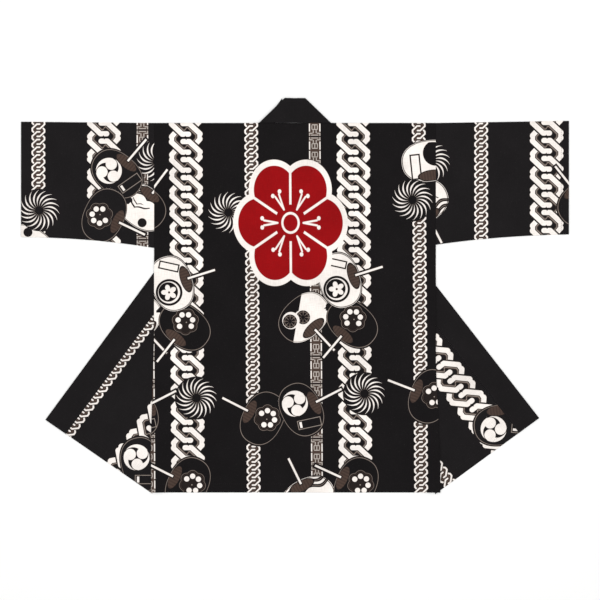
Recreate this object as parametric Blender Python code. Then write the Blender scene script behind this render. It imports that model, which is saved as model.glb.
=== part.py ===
"""A happi coat laid flat, back side up, with its two fronts turned outward.

Metres, +Z up. X runs across the coat, Y runs from the hem to the collar, and the coat lies on
z = 0. Outlines are drawn with the shoulder line at y = 0, and every piece is moved by SHOULDER_Y
at the end, so that the origin lies under the middle of the coat. Each front and sleeve is drawn
in "outward" coordinates, measured from the middle line to its own side.
"""
import math
from collections import namedtuple

import bmesh
import bpy
from mathutils import Vector

# Cloth
CLOTH = 0.0012            # printed cotton with its turned seams
BAND = 0.0024             # the collar is the same cloth doubled
GAP = 0.0003              # room between pieces that are sewn or lie on each other
COLLAR_SEAM = 0.0006      # room at the collar seam, which crosses a fold on the slant
COTTON_BLACK = (0.016, 0.014, 0.015, 1.0)
COTTON_ROUGHNESS = 0.86

# Body
BODY_HALF = 0.3285        # middle line to side seam
BACK_LENGTH = 0.862       # shoulder to hem
NECK_HALF = 0.084         # middle line to the collar seam
COLLAR_WIDTH = 0.058
COLLAR_TOP_HALF = 0.024   # half of the collar's top edge, between its mitres
FRONT_SIDE_LENGTH = 0.866  # shoulder to hem at the side seam
FRONT_EDGE_LENGTH = 0.875  # shoulder to hem at the free edge
FREE_EDGE = NECK_HALF - COLLAR_WIDTH

# Sleeves
SLEEVE_END = 0.639        # middle line to the cuff
SLEEVE_CURVE = 2.1        # power of the curve from the cuff down to the side seam

# Each front is turned outward along one straight fold. It starts on the line of the free edge,
# fold_start above the shoulder, and runs to the lower corner at fold_angle from upright.
Front = namedtuple("Front", "name side fold_start fold_angle")
FRONTS = (
    Front("left", -1, 0.0635, math.radians(18.18)),
    Front("right", 1, 0.0102, math.radians(18.95)),
)

# cuff_lift raises the cuff's top above the shoulder line, the depths run from top to bottom.
Sleeve = namedtuple("Sleeve", "name side cuff_lift cuff_depth body_depth")
SLEEVES = (
    Sleeve("left", -1, 0.003, 0.269, 0.2915),
    Sleeve("right", 1, 0.005, 0.265, 0.284),
)

# How high the upper part of a front lies, by its distance outside the turned free edge.
Step = namedtuple("Step", "at height")
FRONT_RISE = (
    Step(-0.081, CLOTH + GAP),
    Step(-0.061, BAND + GAP),
    Step(0.002, BAND + GAP),
    Step(0.010, 0.0022),
    Step(0.024, 0.0005),
    Step(0.032, 0.0),
)

# The back lies on the fronts, and sinks to the ground between the two folds. The first table is
# the share of the height that is left, by the distance past a fold. The second is what the
# doubled collar adds beside the neck, by the outward distance from the middle line.
BACK_SINK = (Step(0.003, 1.0), Step(0.012, 0.85), Step(0.028, 0.15), Step(0.038, 0.0))
NECK_RISE = (Step(NECK_HALF + 0.002, BAND - CLOTH), Step(NECK_HALF + 0.024, 0.0))
NECK_RISE_REACH = 0.30    # below the shoulder line the neck rise has run out

# The collar seam holds the single cloth at the middle of the doubled band, and the cloth comes
# down from it within a finger's width.
SEAM_LIFT = (Step(NECK_HALF + COLLAR_SEAM, (BAND - CLOTH) / 2), Step(NECK_HALF + 0.020, 0.0))

# Mesh
CELL = 0.055              # grid of the large panels
BAND_CELL = 0.0295        # grid of the collar
SLEEVE_ROWS = 3           # rows across one layer of a sleeve
SLEEVE_COLUMNS = 9
SLEEVE_BEND_STEPS = 4     # steps round the half circle at a sleeve's top and bottom
ROLL_STEPS = 8            # steps round the half circle of a fold
SNAP = 0.00002            # a cut passes through points this near to it
ROLL = 0.0021             # half of the cloth that a fold takes up

SIDEWAYS = Vector((1.0, 0.0, 0.0))
UPWARD = Vector((0.0, 0.0, 1.0))
MITRE_NORMAL = Vector((COLLAR_WIDTH, NECK_HALF - COLLAR_TOP_HALF, 0.0))
SHOULDER_Y = (FRONT_SIDE_LENGTH - COLLAR_WIDTH) / 2


def read_table(table, at):
    """Value of a step table at a place, straight between its rows and level beyond them."""
    if at <= table[0].at:
        return table[0].height
    for low, high in zip(table, table[1:]):
        if at <= high.at:
            share = (at - low.at) / (high.at - low.at)
            return low.height + share * (high.height - low.height)
    return table[-1].height


# The fold of a front

def fold_origin(front):
    return Vector((FREE_EDGE, front.fold_start, 0.0))


def across_fold(front):
    """Unit vector square to the fold, towards the middle of the coat."""
    return Vector((-math.cos(front.fold_angle), -math.sin(front.fold_angle), 0.0))


def outside_edge(front):
    """Unit vector square to the turned free edge, away from the coat."""
    turned = 2 * front.fold_angle
    return Vector((math.cos(turned), math.sin(turned), 0.0))


def past_fold(front, point):
    return (point - fold_origin(front)).dot(across_fold(front))


def front_rise(front, point):
    outside = (point - fold_origin(front)).dot(outside_edge(front))
    return read_table(FRONT_RISE, outside)


def fold_front(front, point, middle, out):
    """Place of a point after the front is turned: the upper part stays where it is, the part
    past the fold is mirrored beneath it, and a half circle joins the two. The middle of the
    turned cloth lies at the height middle, and out is the way from the middle of the cloth
    to the face that is uppermost before the turn."""
    past = past_fold(front, point)
    rise = front_rise(front, point)
    if past <= -ROLL:
        return Vector((point.x, point.y, rise + middle + out))
    across = across_fold(front)
    foot = point - past * across
    if past >= ROLL:
        turned = foot - past * across
        return Vector((turned.x, turned.y, middle - out))
    angle = math.pi * (past + ROLL) / (2 * ROLL)
    centre = middle + rise / 2
    radius = rise / 2 + out
    rolled = foot + (radius * math.sin(angle) - ROLL) * across
    return Vector((rolled.x, rolled.y, centre + radius * math.cos(angle)))


def cover_height(front, point):
    """Underside of what lies over a front, its doubled collar and the ground beside them."""
    over = front_rise(front, point) + CLOTH + GAP + read_table(NECK_RISE, point.x)
    inside = max(past_fold(front, point), FREE_EDGE - point.x)
    return over * read_table(BACK_SINK, inside)


# Flat cloth

def cloth_grid(left, right, bottom, top, cell):
    """Flat cloth in cells, with an even number of columns so that one lies on the middle."""
    bm = bmesh.new()
    columns = 2 * max(1, round((right - left) / cell / 2))
    rows = round((top - bottom) / cell)
    bmesh.ops.create_grid(bm, x_segments=columns, y_segments=rows, size=0.5)
    bmesh.ops.scale(bm, vec=(right - left, top - bottom, 1.0), verts=bm.verts)
    middle = ((left + right) / 2, (bottom + top) / 2, 0.0)
    bmesh.ops.translate(bm, vec=middle, verts=bm.verts)
    return bm


def cut(bm, point, normal, trim=False, where=None):
    """Cut the faces along a line. With trim, what lies on the normal's side is taken away."""
    faces = [face for face in bm.faces if where is None or where(face.calc_center_median())]
    edges = list(dict.fromkeys(edge for face in faces for edge in face.edges))
    verts = list(dict.fromkeys(vert for face in faces for vert in face.verts))
    bmesh.ops.bisect_plane(bm, geom=verts + edges + faces, dist=SNAP, plane_co=point,
                           plane_no=normal, clear_outer=trim)


def crease_along(bm, front, mirror, where):
    """Cut along the lines where the height over a front changes its slope."""
    origin = mirror(fold_origin(front))
    normal = mirror(outside_edge(front))
    for step in FRONT_RISE:
        cut(bm, origin + step.at * normal, normal, where=where)


def outward(point):
    return Vector(point)


def flipped(point):
    return Vector((-point.x, point.y, point.z))


def lay(bm, thickness, place):
    """Split the flat cloth into triangles, give it a second face, and move both to their place.

    place takes a point of the flat cloth and its distance out from the middle of the wall.
    """
    bmesh.ops.triangulate(bm, faces=bm.faces)
    inner = list(bm.verts)
    doubled = bmesh.ops.extrude_face_region(bm, geom=bm.faces[:])
    outer = [part for part in doubled["geom"] if isinstance(part, bmesh.types.BMVert)]
    for verts, out in ((inner, -thickness / 2), (outer, thickness / 2)):
        for vert in verts:
            vert.co = place(vert.co, out)
    bmesh.ops.recalc_face_normals(bm, faces=bm.faces)


# Objects

def cotton(name):
    material = bpy.data.materials.new(name + "_cotton")
    material.use_nodes = True
    shader = material.node_tree.nodes["Principled BSDF"]
    shader.inputs["Base Color"].default_value = COTTON_BLACK
    shader.inputs["Roughness"].default_value = COTTON_ROUGHNESS
    shader.inputs["Metallic"].default_value = 0.0
    return material


def finish(bm, name, collection):
    bmesh.ops.translate(bm, vec=(0.0, SHOULDER_Y, 0.0), verts=bm.verts)
    mesh = bpy.data.meshes.new(name)
    bm.to_mesh(mesh)
    bm.free()
    mesh.materials.append(cotton(name))
    panel = bpy.data.objects.new(name, mesh)
    collection.objects.link(panel)


def put_on_side(bm, side):
    """Turn the outward drawing into the left or the right piece, its faces still outside."""
    bmesh.ops.scale(bm, vec=(side, 1.0, 1.0), verts=bm.verts)
    bmesh.ops.recalc_face_normals(bm, faces=bm.faces)


# Pieces

def make_front(front, collection):
    """One front: cloth from the side seam to the collar seam, turned along its fold."""
    bm = cloth_grid(NECK_HALF + COLLAR_SEAM, BODY_HALF, -FRONT_EDGE_LENGTH, 0.0, CELL)
    trim_front_hem(bm)
    crease_along(bm, front, outward, lambda at: past_fold(front, at) < 0)
    cut(bm, SEAM_LIFT[-1].at * SIDEWAYS, SIDEWAYS)
    cut_roll(bm, front)

    def place(at, out):
        middle = CLOTH / 2 + read_table(SEAM_LIFT, at.x)
        return fold_front(front, at, middle, out)

    lay(bm, CLOTH, place)
    put_on_side(bm, front.side)
    finish(bm, "front_" + front.name, collection)


def trim_front_hem(bm):
    """The hem of a front dips from the side seam to the free edge."""
    dip = FRONT_EDGE_LENGTH - FRONT_SIDE_LENGTH
    below = Vector((dip, FREE_EDGE - BODY_HALF, 0.0))
    cut(bm, Vector((BODY_HALF, -FRONT_SIDE_LENGTH, 0.0)), below, trim=True)


def cut_roll(bm, front):
    """Cut the cloth along the lines that the half circle of the fold needs."""
    across = across_fold(front)
    for step in range(ROLL_STEPS + 1):
        past = ROLL * (2 * step / ROLL_STEPS - 1)
        cut(bm, fold_origin(front) + past * across, across)


def make_collar_side(front, collection):
    """The doubled band down one free edge, turned with its front."""
    bm = cloth_grid(FREE_EDGE, NECK_HALF, -FRONT_EDGE_LENGTH, COLLAR_WIDTH, BAND_CELL)
    trim_front_hem(bm)
    cut(bm, NECK_HALF * SIDEWAYS, MITRE_NORMAL, trim=True)
    crease_along(bm, front, outward, lambda at: past_fold(front, at) < 0)
    cut_roll(bm, front)
    lay(bm, BAND, lambda at, out: fold_front(front, at, BAND / 2, out))
    put_on_side(bm, front.side)
    finish(bm, "collar_" + front.name, collection)


def crease_cover(bm, front):
    """Cut one half of the back or of the back collar where the height below it changes."""
    mirror = flipped if front.side < 0 else outward

    def own_half(at):
        return at.x * front.side > 0

    def near_neck(at):
        return own_half(at) and at.y > -NECK_RISE_REACH

    crease_along(bm, front, mirror, own_half)
    across = mirror(across_fold(front))
    for step in BACK_SINK:
        cut(bm, mirror(fold_origin(front)) + step.at * across, across, where=own_half)
    for step in NECK_RISE:
        cut(bm, front.side * step.at * SIDEWAYS, SIDEWAYS, where=near_neck)


def lie_on_fronts(at, middle):
    """A point of the back or of the back collar, on what lies beneath it."""
    front = FRONTS[0] if at.x < 0 else FRONTS[1]
    height = cover_height(front, Vector((abs(at.x), at.y, 0.0)))
    return Vector((at.x, at.y, height + middle))


def make_back(collection):
    bm = cloth_grid(-BODY_HALF, BODY_HALF, -BACK_LENGTH, 0.0, CELL)
    for front in FRONTS:
        crease_cover(bm, front)
    lay(bm, CLOTH, lambda at, out: lie_on_fronts(at, CLOTH / 2 + out))
    finish(bm, "back", collection)


def make_collar_back(collection):
    """The doubled band across the neck, slanted at both ends where it turns to the fronts."""
    bm = cloth_grid(-NECK_HALF, NECK_HALF, GAP, COLLAR_WIDTH, BAND_CELL)
    cut(bm, NECK_HALF * SIDEWAYS, MITRE_NORMAL, trim=True)
    cut(bm, -NECK_HALF * SIDEWAYS, flipped(MITRE_NORMAL), trim=True)
    for front in FRONTS:
        crease_cover(bm, front)
        cut(bm, front.side * (FREE_EDGE - BACK_SINK[0].at) * SIDEWAYS, SIDEWAYS)
    lay(bm, BAND, lambda at, out: lie_on_fronts(at, BAND / 2 + out))
    finish(bm, "collar_back", collection)


def sleeve_section(sleeve, share):
    """Top and depth of a sleeve, at a share of its length from the body to the cuff."""
    top = sleeve.cuff_lift * share
    curve = (1 - share) ** SLEEVE_CURVE
    depth = sleeve.cuff_depth + (sleeve.body_depth - sleeve.cuff_depth) * curve
    return top, depth


def make_sleeve(sleeve, collection):
    """One cloth folded over the sleeve's top and joined along its bottom, a flat open tube.

    It starts as an open cylinder round Z. Its rows become, in turn, the lower layer from the
    bottom to the top, the half circle over the top, the upper layer, and the half circle below.
    """
    rows = 2 * (SLEEVE_ROWS + SLEEVE_BEND_STEPS)
    bm = bmesh.new()
    bmesh.ops.create_cone(bm, cap_ends=False, segments=rows, radius1=1.0, radius2=1.0, depth=1.0)
    for column in range(1, SLEEVE_COLUMNS):
        cut(bm, (column / SLEEVE_COLUMNS - 0.5) * UPWARD, UPWARD)

    def place(at, out):
        share = at.z + 0.5
        turn = math.atan2(at.y, at.x) / (2 * math.pi)
        across, height = sleeve_place(sleeve, share, round(turn * rows) % rows, out)
        start = BODY_HALF + GAP
        along = start + (SLEEVE_END - start) * share
        return Vector((along, across, height))

    lay(bm, CLOTH, place)
    put_on_side(bm, sleeve.side)
    finish(bm, "sleeve_" + sleeve.name, collection)


def sleeve_place(sleeve, share, row, out):
    """Y and Z of one row of the sleeve's wall, at a share of the way to the cuff."""
    bend = (CLOTH + GAP) / 2
    middle = CLOTH / 2 + bend
    top, depth = sleeve_section(sleeve, share)
    highest = top - bend - CLOTH / 2
    lowest = top - depth + bend + CLOTH / 2
    radius = bend + out
    layer_end = SLEEVE_ROWS
    upper_start = layer_end + SLEEVE_BEND_STEPS
    upper_end = upper_start + SLEEVE_ROWS
    if row < layer_end:
        return lowest + (highest - lowest) * row / SLEEVE_ROWS, middle - radius
    if row < upper_start:
        angle = math.pi * (row - layer_end) / SLEEVE_BEND_STEPS
        return highest + radius * math.sin(angle), middle - radius * math.cos(angle)
    if row < upper_end:
        return highest + (lowest - highest) * (row - upper_start) / SLEEVE_ROWS, middle + radius
    angle = math.pi * (row - upper_end) / SLEEVE_BEND_STEPS
    return lowest - radius * math.sin(angle), middle + radius * math.cos(angle)


def main():
    for old in list(bpy.data.objects):
        bpy.data.objects.remove(old, do_unlink=True)
    collection = bpy.data.collections.new("happi_coat")
    bpy.context.scene.collection.children.link(collection)
    make_back(collection)
    make_collar_back(collection)
    for front in FRONTS:
        make_front(front, collection)
        make_collar_side(front, collection)
    for sleeve in SLEEVES:
        make_sleeve(sleeve, collection)


main()
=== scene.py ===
"""A happi coat laid flat on a pale floor, back side up, its two fronts turned outward.

Metres, +Z up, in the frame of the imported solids. Every panel is a fine closed shell of cloth that
lies where its solid lies. Outlines are worked out with the shoulder line at y = 0, and SHOULDER_Y
is added at the end. "Outward" coordinates are measured from the middle line to a panel's own side.
"""
import math
from collections import namedtuple
from functools import partial, reduce

import bpy
import numpy as np
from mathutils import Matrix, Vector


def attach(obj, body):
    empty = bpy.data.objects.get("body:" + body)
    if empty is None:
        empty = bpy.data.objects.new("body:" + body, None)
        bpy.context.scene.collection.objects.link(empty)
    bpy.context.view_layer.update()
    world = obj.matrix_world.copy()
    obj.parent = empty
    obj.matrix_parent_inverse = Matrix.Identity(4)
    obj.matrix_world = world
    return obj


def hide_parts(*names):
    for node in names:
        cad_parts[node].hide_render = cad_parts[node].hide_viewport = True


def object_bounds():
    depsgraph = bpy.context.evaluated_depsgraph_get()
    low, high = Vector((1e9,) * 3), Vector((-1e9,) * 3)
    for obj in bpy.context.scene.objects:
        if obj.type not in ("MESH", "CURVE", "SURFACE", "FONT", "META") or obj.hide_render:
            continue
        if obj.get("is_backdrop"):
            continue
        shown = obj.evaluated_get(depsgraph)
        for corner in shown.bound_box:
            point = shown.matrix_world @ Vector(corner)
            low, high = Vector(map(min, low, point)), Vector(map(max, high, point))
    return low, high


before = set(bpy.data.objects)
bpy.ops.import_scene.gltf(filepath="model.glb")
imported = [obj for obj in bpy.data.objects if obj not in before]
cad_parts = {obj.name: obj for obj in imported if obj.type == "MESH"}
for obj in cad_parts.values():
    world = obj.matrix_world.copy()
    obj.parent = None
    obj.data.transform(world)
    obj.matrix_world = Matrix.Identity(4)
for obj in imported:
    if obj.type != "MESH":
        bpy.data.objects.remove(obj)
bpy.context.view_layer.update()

# Sizes of the cloth, as in the solids
CLOTH = 0.0012
BAND = 0.0024
GAP = 0.0003
COLLAR_SEAM = 0.0006
SEAM_GAP = 0.00006   # sewn edges touch here; the solids leave more room
BODY_HALF = 0.3285
BACK_LENGTH = 0.862
NECK_HALF = 0.084
COLLAR_WIDTH = 0.058
COLLAR_TOP_HALF = 0.024
FRONT_SIDE_LENGTH = 0.866
FRONT_EDGE_LENGTH = 0.875
FREE_EDGE = NECK_HALF - COLLAR_WIDTH
SLEEVE_START = BODY_HALF + SEAM_GAP
SLEEVE_END = 0.639
SLEEVE_CURVE = 2.1
ROLL = 0.0021
SHOULDER_Y = (FRONT_SIDE_LENGTH - COLLAR_WIDTH) / 2

Front = namedtuple("Front", "name side fold_start fold_angle")
FRONTS = {
    -1: Front("left", -1, 0.0635, math.radians(18.18)),
    1: Front("right", 1, 0.0102, math.radians(18.95)),
}
Sleeve = namedtuple("Sleeve", "name side cuff_lift cuff_depth body_depth")
SLEEVES = (
    Sleeve("left", -1, 0.003, 0.269, 0.2915),
    Sleeve("right", 1, 0.005, 0.265, 0.284),
)

# Height tables: places, then heights
FRONT_RISE = ((-0.081, -0.061, 0.002, 0.010, 0.024, 0.032),
              (0.0015, 0.0027, 0.0027, 0.0022, 0.0005, 0.0))
BACK_SINK = ((0.003, 0.012, 0.028, 0.038), (1.0, 0.85, 0.15, 0.0))
NECK_RISE = ((NECK_HALF + 0.002, NECK_HALF + 0.024), (BAND - CLOTH, 0.0))
SEAM_LIFT = ((NECK_HALF + COLLAR_SEAM, NECK_HALF + 0.020), ((BAND - CLOTH) / 2, 0.0))
EASE = np.array((-0.004, -0.002, 0.0, 0.002, 0.004))   # a height is the mean at these offsets

# Meshes of the cloth
STEP = 0.0045          # from line to line and from point to point on a panel
BAND_STEP = 0.004      # from line to line on a side collar
FRONT_STEPS = 190      # points along a line of a front, of a side collar and of the back collar
BAND_STEPS = 40
NECK_STEPS = 16
NECK_SHARE = 0.045     # from line to line on the back collar, in shares of its half width
WELD = 2e-6            # points this near to each other become one
NEAR = 1e-5            # and so do lines of a front
TINY = 1e-9
ROUND = np.radians((0.0, 35.0, 65.0, 90.0))   # steps round a cut edge

# The printed cloth repeats across its width, in millimetres from the middle of a wide chain
REPEAT = 390.6
NARROW_AT = 152.8
MEANDER_AT = -89.8
BACK_WIDE_AT = 0.2550   # metres from the middle line to the back's left wide chain


def table(at, rows):
    """Straight between the rows of a table, with its corners eased."""
    return np.interp(np.asarray(at)[..., None] + EASE, *rows).mean(axis=-1)


# Meshes

def add_piece(name, points, faces):
    """A smooth mesh in the scene, from its points and the faces between them."""
    mesh = bpy.data.meshes.new(name)
    mesh.from_pydata(points.tolist(), [], faces.tolist())
    mesh.shade_smooth()
    piece = bpy.data.objects.new(name, mesh)
    bpy.context.scene.collection.objects.link(piece)
    return piece


def closed_mesh(name, points, maps, round_rows=False):
    """A mesh from a grid of points, with its UV maps.

    Each cell of the grid becomes two triangles. The last column joins the first, and with
    round_rows the last row does too. Points at one place become one, and triangles that this
    empties go, so a row may shrink to a line or a point. A mesh whose volume comes out negative
    is turned. maps takes a function that gives a grid's values at every triangle's corners.
    """
    rows, columns = points.shape[:2]
    index = np.arange(rows * columns).reshape(rows, columns)
    if round_rows:
        index = np.concatenate((index, index[:1]), axis=0)
    index = np.concatenate((index, index[:, :1]), axis=1)
    low, high = index[:-1], index[1:]
    first = np.stack((low[:, :-1], high[:, :-1], high[:, 1:]), axis=-1).reshape(-1, 3)
    second = np.stack((low[:, :-1], high[:, 1:], low[:, 1:]), axis=-1).reshape(-1, 3)
    triangles = np.concatenate((first, second))
    flat = points.reshape(-1, 3)
    _, keep, same = np.unique(np.round(flat / WELD), axis=0, return_index=True,
                              return_inverse=True)
    joined = same.reshape(-1)[triangles]
    a, b, c = joined.T
    whole = (a != b) & (b != c) & (c != a)
    joined, triangles = joined[whole], triangles[whole]
    corners = flat[keep][joined]
    volume = np.einsum("ij,ij->i", corners[:, 0], np.cross(corners[:, 1], corners[:, 2])).sum()
    if volume < 0:
        joined, triangles = joined[:, ::-1], triangles[:, ::-1]
    piece = add_piece(name, flat[keep], joined)

    def pick(grid):
        return grid.reshape(rows * columns, *grid.shape[2:])[triangles]

    for map_name, values in maps(pick).items():
        layer = piece.data.uv_layers.new(name=map_name)
        layer.data.foreach_set("uv", values.astype(np.float32).reshape(-1))
    return piece


def single_section(steps):
    """One closed loop round a single cloth, along a line from its start to its end.

    Returns three lists: the share of the way along the flat part, the distance added to it and
    the distance out from the middle of the wall, the last two in halves of the wall.
    """
    share = np.linspace(0, 1, steps + 1)[1:-1]
    start_share, end_share = np.zeros(len(ROUND)), np.ones(len(ROUND))
    outer = (np.concatenate((start_share, share, end_share)),
             np.concatenate((-np.cos(ROUND), 0 * share, np.cos(ROUND[::-1]))),
             np.concatenate((np.sin(ROUND), 0 * share + 1, np.sin(ROUND[::-1]))))
    inner = [part[::-1][1:-1] for part in outer]
    inner[2] = -inner[2]
    return [np.concatenate(pair) for pair in zip(outer, inner)]


def doubled_section(steps):
    """The same for a band of cloth folded double: open at the start of the line, folded at its
    end, with a narrow slit left between its two layers."""
    slit = 0.08
    centre, radius = (1 + slit) / 2, (1 - slit) / 2
    share = np.linspace(0, 1, steps + 1)[1:-1]
    turn = np.radians((-90.0, -45.0, 0.0, 45.0, 90.0))
    edge = np.zeros(len(turn))
    fold = np.radians((90.0, 60.0, 30.0, 0.0, -30.0, -60.0, -90.0))
    top = [(edge, -1 + radius - radius * np.cos(turn), centre + radius * np.sin(turn)),
           (share, 0 * share, 0 * share + 1)]
    outer_fold = [(np.ones(len(fold)), np.cos(fold), np.sin(fold))]
    bottom = [(share[::-1], 0 * share, 0 * share - 1),
              (edge, -1 + radius - radius * np.cos(turn), -centre + radius * np.sin(turn))]
    inside = [(share, 0 * share, 0 * share - slit),
              (np.ones(3), slit * np.cos(fold[::3]), -slit * np.sin(fold[::3])),
              (share[::-1], 0 * share, 0 * share + slit)]
    return [np.concatenate(part) for part in zip(*(top + outer_fold + bottom + inside))]


def along_lines(start, end, section, half, thin):
    """Flat places and distances out for a section carried along many lines.

    start and end are the ends of the lines, half is half of the wall, and thin is a share from 0
    to 1 for each line that closes the wall at the first and last of them.
    """
    share, extra, out = section
    reach = end - start
    length = np.linalg.norm(reach, axis=-1)
    way = reach / np.maximum(length, TINY)[:, None]
    radius = np.minimum(half, length / 2)
    distance = radius[:, None] * (1 + extra) + (length - 2 * radius)[:, None] * share
    flat = start[:, None] + distance[..., None] * way[:, None]
    return flat, out * thin[:, None] * np.ones_like(distance)


def spaced(low, high, step, fixed):
    """Places from low to high about a step apart, with the fixed ones among them."""
    places = np.linspace(low, high, max(2, math.ceil((high - low) / step)) + 1)
    for place in fixed:
        places = places[np.abs(places - place) > step / 3]
    places = np.unique(np.concatenate((places, [x for x in fixed if low <= x <= high])))
    return places[np.concatenate(([True], np.diff(places) > NEAR))]


def edged(low, high, step, half):
    """Places from low to high that also go round both cut edges, and how far the wall is open."""
    inner = np.linspace(low + half, high - half, int((high - low) / step) + 1)[1:-1]
    places = np.concatenate((low + half * (1 - np.cos(ROUND)), inner,
                             high - half * (1 - np.cos(ROUND[::-1]))))
    thin = np.concatenate((np.sin(ROUND), np.ones(len(inner)), np.sin(ROUND[::-1])))
    return places, thin


# The fold of a front

def fold_frame(front):
    """Start of the fold, the way across it and the way along it, in outward coordinates."""
    turn = front.fold_angle
    return (np.array((FREE_EDGE, front.fold_start)),
            np.array((-math.cos(turn), -math.sin(turn))),
            np.array((-math.sin(turn), math.cos(turn))))


def past_fold(front, flat):
    start, across, _ = fold_frame(front)
    return (flat - start) @ across


def front_rise(front, flat):
    start, _, _ = fold_frame(front)
    turned = 2 * front.fold_angle
    outside = (flat - start) @ np.array((math.cos(turned), math.sin(turned)))
    return table(outside, FRONT_RISE)


def fold_front(front, flat, middle, out):
    """Flat place and height of a point after the front is turned. Short of the fold the cloth
    stays where it is, at the height that the turned part gives it. Past the fold it is mirrored
    beneath. Between the two it goes round half a circle."""
    _, across, _ = fold_frame(front)
    past = past_fold(front, flat)
    rise = front_rise(front, flat)
    foot = flat - past[..., None] * across
    angle = np.pi * np.clip((past + ROLL) / (2 * ROLL), 0, 1)
    radius = rise / 2 + out
    reach = radius * np.sin(angle) - ROLL
    rolled = foot + reach[..., None] * across
    upper = past <= -ROLL
    turned = past >= ROLL
    xy = np.where(upper[..., None], flat, rolled)
    xy = np.where(turned[..., None], foot - past[..., None] * across, xy)
    height = np.where(upper, rise + middle + out, middle + rise / 2 + radius * np.cos(angle))
    return xy, np.where(turned, middle - out, height)


def cover_height(flat):
    """Underside of what lies over the fronts, their doubled collars and the ground."""
    outward = np.stack((np.abs(flat[..., 0]), flat[..., 1]), axis=-1)
    height = np.zeros(flat.shape[:-1])
    for side, front in FRONTS.items():
        over = front_rise(front, outward) + CLOTH + GAP + table(outward[..., 0], NECK_RISE)
        inside = np.maximum(past_fold(front, outward), FREE_EDGE - outward[..., 0])
        on_side = flat[..., 0] < 0 if side < 0 else flat[..., 0] >= 0
        height = np.where(on_side, over * table(inside, BACK_SINK), height)
    return height


# Creases

BOW = 0.06   # how far a crease bows out, in shares of its length
Crease = namedtuple("Crease", "x0 y0 x1 y1 height width")
BACK_CREASES = (
    Crease(-0.006, -0.02, 0.004, -0.86, 0.0007, 0.006),
    Crease(-0.30, -0.30, -0.12, -0.335, 0.0009, 0.012),
    Crease(0.31, -0.29, 0.10, -0.33, 0.0008, 0.014),
    Crease(-0.31, -0.455, 0.29, -0.44, 0.0005, 0.009),
    Crease(-0.27, -0.03, -0.19, -0.21, 0.0008, 0.011),
    Crease(0.28, -0.04, 0.22, -0.19, 0.0010, 0.010),
    Crease(-0.14, -0.74, -0.05, -0.85, 0.0009, 0.010),
    Crease(0.17, -0.70, 0.24, -0.855, 0.0008, 0.012),
    Crease(-0.05, -0.03, -0.13, -0.12, 0.0006, 0.009),
    Crease(0.06, -0.02, 0.15, -0.10, 0.0007, 0.008),
    Crease(-0.32, -0.60, -0.24, -0.58, 0.0010, 0.009),
    Crease(0.32, -0.63, 0.23, -0.60, 0.0009, 0.010),
)
SLEEVE_CREASES = {
    -1: (Crease(0.335, -0.05, 0.42, -0.24, 0.0012, 0.012),
         Crease(0.34, -0.17, 0.50, -0.19, 0.0008, 0.010),
         Crease(0.50, -0.02, 0.47, -0.25, 0.0006, 0.008),
         Crease(0.62, -0.05, 0.58, -0.15, 0.0009, 0.010),
         Crease(0.36, -0.02, 0.44, -0.06, 0.0009, 0.010)),
    1: (Crease(0.335, -0.06, 0.41, -0.25, 0.0011, 0.013),
        Crease(0.34, -0.20, 0.48, -0.21, 0.0009, 0.010),
        Crease(0.52, -0.02, 0.50, -0.24, 0.0006, 0.009),
        Crease(0.62, -0.20, 0.57, -0.12, 0.0008, 0.010),
        Crease(0.38, -0.02, 0.46, -0.07, 0.0008, 0.011)),
}
WEDGE_CREASES = {
    -1: (Crease(-0.52, -0.70, -0.36, -0.66, 0.0009, 0.010),
         Crease(-0.46, -0.60, -0.34, -0.52, 0.0008, 0.010)),
    1: (Crease(0.50, -0.68, 0.35, -0.62, 0.0009, 0.010),
        Crease(0.44, -0.58, 0.34, -0.55, 0.0008, 0.010)),
}


def creases(flat, rows):
    """Soft ridges: each rises along its own line as a bell across it and a hump along it."""
    height = np.zeros(flat.shape[:-1])
    for row in rows:
        start = np.array((row.x0, row.y0))
        reach = np.array((row.x1, row.y1)) - start
        length = np.linalg.norm(reach)
        along = ((flat - start) @ reach) / length ** 2
        bow = BOW * length * np.sin(np.pi * np.clip(along, 0, 1)) ** 2
        across = (flat - start) @ np.array((-reach[1], reach[0])) / length - bow
        hump = np.clip(1 - (2 * along - 1) ** 2, 0, 1)
        height += row.height * hump * np.exp(-(across / row.width) ** 2)
    return height


# Print maps

# The middle of each motif in millimetres from the middle of the shoulder line, x to the right and
# y up, and the angle of its handle: 0 points down, 90 to the right.
Motif = namedtuple("Motif", "kind x y turn")
RING, DOTS, COMMAS, WHEELS, PINWHEEL, WAVES, MOON = range(1, 8)
NO_HANDLE = 0.25   # added to the kind of a fan whose handle doesn't show
BACK_MOTIFS = (
    Motif(DOTS, -250, -842, -117), Motif(DOTS, 142.5, -842.5, -114.5),
    Motif(WAVES, 31, -877, -154),
    Motif(PINWHEEL, -229.8, -641.6, 0), Motif(PINWHEEL, 162, -631.5, 0),
    Motif(COMMAS, 14.7, -668.4, 117), Motif(COMMAS, -371, -672.6, 117),
    Motif(DOTS, -75.4, -689, -117), Motif(DOTS, 315, -637.4, -111),
    Motif(RING, -287, -374.5, 107.6), Motif(RING, 103.8, -366.8, 107.4),
    Motif(DOTS, -257, -474, -38), Motif(DOTS, 133.5, -467, -40),
    Motif(WHEELS, 20.2, -453.5, 43), Motif(WHEELS, -371, -460, 43),
    Motif(PINWHEEL, -155, -208.8, 0), Motif(PINWHEEL, 274, -179.4, 0),
    Motif(MOON + NO_HANDLE, 313.5, -88.4, 8),
    Motif(DOTS, -361, -192.5, 143),
)
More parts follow.
